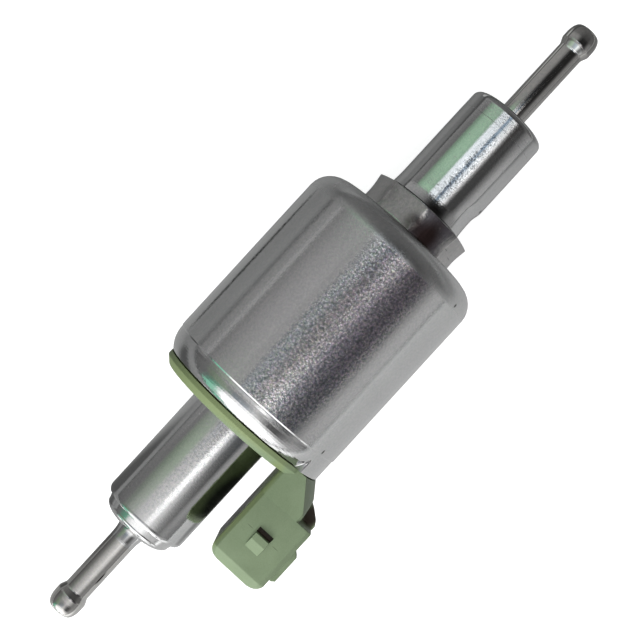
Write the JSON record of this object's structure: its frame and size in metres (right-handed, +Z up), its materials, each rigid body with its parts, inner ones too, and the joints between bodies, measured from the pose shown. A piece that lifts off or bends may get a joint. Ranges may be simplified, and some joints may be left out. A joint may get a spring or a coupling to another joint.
{
  "type": "inline electric fuel pump",
  "caption": "Inline solenoid metering fuel pump: round plated can, hose spigots at both ends, blade connector beside the inlet.",
  "frame": {"origin": "on the pump's axis, at the middle of the can's straight band", "axes": "+X along the pump's axis in the direction of flow, towards the outlet; the connector lies on the -Y side; +Z is up when the pump lies flat with the connector beside it"},
  "size_m": [0.1384, 0.0427, 0.036],
  "materials": {
    "zinc_steel": "zinc plated, satin, fine grain",
    "green_plastic": "moulded, satin grey-green",
    "tinned_blade": "tinned",
    "copper_wire": "enamelled copper",
    "nylon": "moulded natural nylon",
    "tape": "polyester tape",
    "soft_iron": "turned",
    "brass": "turned",
    "rubber": "fuel-resistant rubber",
    "mesh": "fine nylon sieve cloth",
    "hard_steel": "ground and lapped",
    "spring_steel": "stainless spring wire"
  },
  "bodies": {
    "housing": {"can": "zinc_steel", "crimp_collar": "zinc_steel", "connector_cover": "green_plastic", "terminal_blades": "tinned_blade", "coil_leads": "copper_wire", "coil_bobbin": "nylon", "coil_winding": "copper_wire", "winding_tape": "tape", "yoke_washer": "soft_iron", "inlet_tube": "zinc_steel", "gap_ring": "brass", "outlet_body": "zinc_steel", "inlet_cap": "zinc_steel", "inlet_cap_seal": "rubber", "inlet_spigot": "zinc_steel", "filter_cage": "nylon", "filter_mesh": "mesh", "stop_ring": "soft_iron", "rest_bumper": "rubber", "return_spring": "spring_steel", "end_bumper": "rubber", "barrel": "brass", "barrel_seal": "rubber", "valve_seat": "brass", "valve_seal": "rubber", "valve_spring": "spring_steel", "valve_cage": "brass", "outlet_cap": "zinc_steel", "outlet_cap_seal": "rubber", "outlet_spigot": "zinc_steel"},
    "plunger": {"armature": "soft_iron", "piston": "hard_steel"},
    "outlet_valve": {"valve_ball": "hard_steel"}
  },
  "joints": [
    {"name": "piston_stroke", "type": "slide", "parent": "housing", "child": "plunger", "axis": [1, 0, 0], "range_m": [0, 0.0022], "stiffness_N_per_m": 900, "springref_m": -0.004, "deforming": ["return_spring"]},
    {"name": "outlet_valve_lift", "type": "slide", "parent": "housing", "child": "outlet_valve", "axis": [1, 0, 0], "range_m": [0, 0.0008], "stiffness_N_per_m": 150, "springref_m": -0.003, "deforming": ["valve_spring"]}
  ]
}
